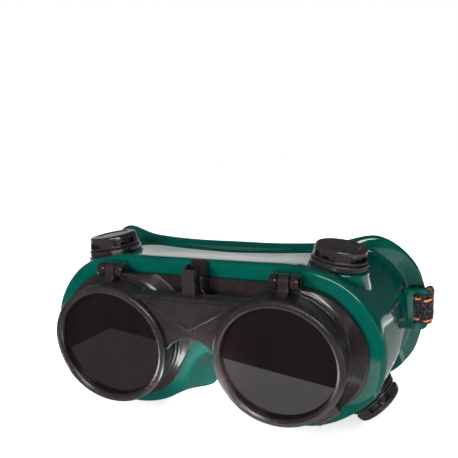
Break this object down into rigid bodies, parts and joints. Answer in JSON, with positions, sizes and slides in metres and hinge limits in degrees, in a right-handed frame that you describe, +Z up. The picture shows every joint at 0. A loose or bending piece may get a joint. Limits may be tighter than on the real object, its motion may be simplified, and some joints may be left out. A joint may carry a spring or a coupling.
{
  "type": "flip-front welding goggles",
  "caption": "Cup-type welding goggles: a soft green face cup, a black carrier with clear round lenses and a hinged front with dark lenses, round capped vents and a stitched webbing headband.",
  "frame": {"origin": "on the table, under the middle of the box round the whole goggles", "axes": "+X across the face towards the ring that carries the finger tab, +Y from the lenses towards the wearer along the table, +Z up from the table; the goggles stand as they rest by themselves, so the lenses' axes dip 8.6 degrees towards the front"},
  "size_m": [0.1902, 0.1636, 0.0826],
  "materials": {
    "pvc": "gloss",
    "black_plastic": "satin",
    "vent_plastic": "satin",
    "shade_glass": "gloss",
    "clear_glass": "gloss",
    "steel": "satin",
    "webbing": "matte"
  },
  "bodies": {
    "goggles": {"goggle_body": "pvc", "lens_carrier": "black_plastic", "strap": "webbing", "clear_lens_left": "clear_glass", "clear_lens_ring_left": "black_plastic", "hinge_pin_left": "steel", "clear_lens_right": "clear_glass", "clear_lens_ring_right": "black_plastic", "hinge_pin_right": "steel", "vent_base_top_left": "vent_plastic", "vent_cap_top_left": "vent_plastic", "vent_base_bottom_left": "vent_plastic", "vent_cap_bottom_left": "vent_plastic", "vent_base_top_right": "vent_plastic", "vent_cap_top_right": "vent_plastic", "vent_base_bottom_right": "vent_plastic", "vent_cap_bottom_right": "vent_plastic"},
    "flip_front": {"flip_frame": "black_plastic", "shade_lens_left": "shade_glass", "shade_lens_ring_left": "black_plastic", "shade_lens_right": "shade_glass", "shade_lens_ring_right": "black_plastic"},
    "slider": {"strap_slider": "black_plastic"}
  },
  "joints": [
    {"name": "flip_hinge", "type": "hinge", "parent": "goggles", "child": "flip_front", "pos_m": [0, -0.07044, 0.06876], "axis": [-1, 0, 0], "range_deg": [0, 95]},
    {"name": "slider_slide", "type": "slide", "parent": "goggles", "child": "slider", "axis": [1, 0, 0], "range_m": [-0.03, 0.01]}
  ]
}
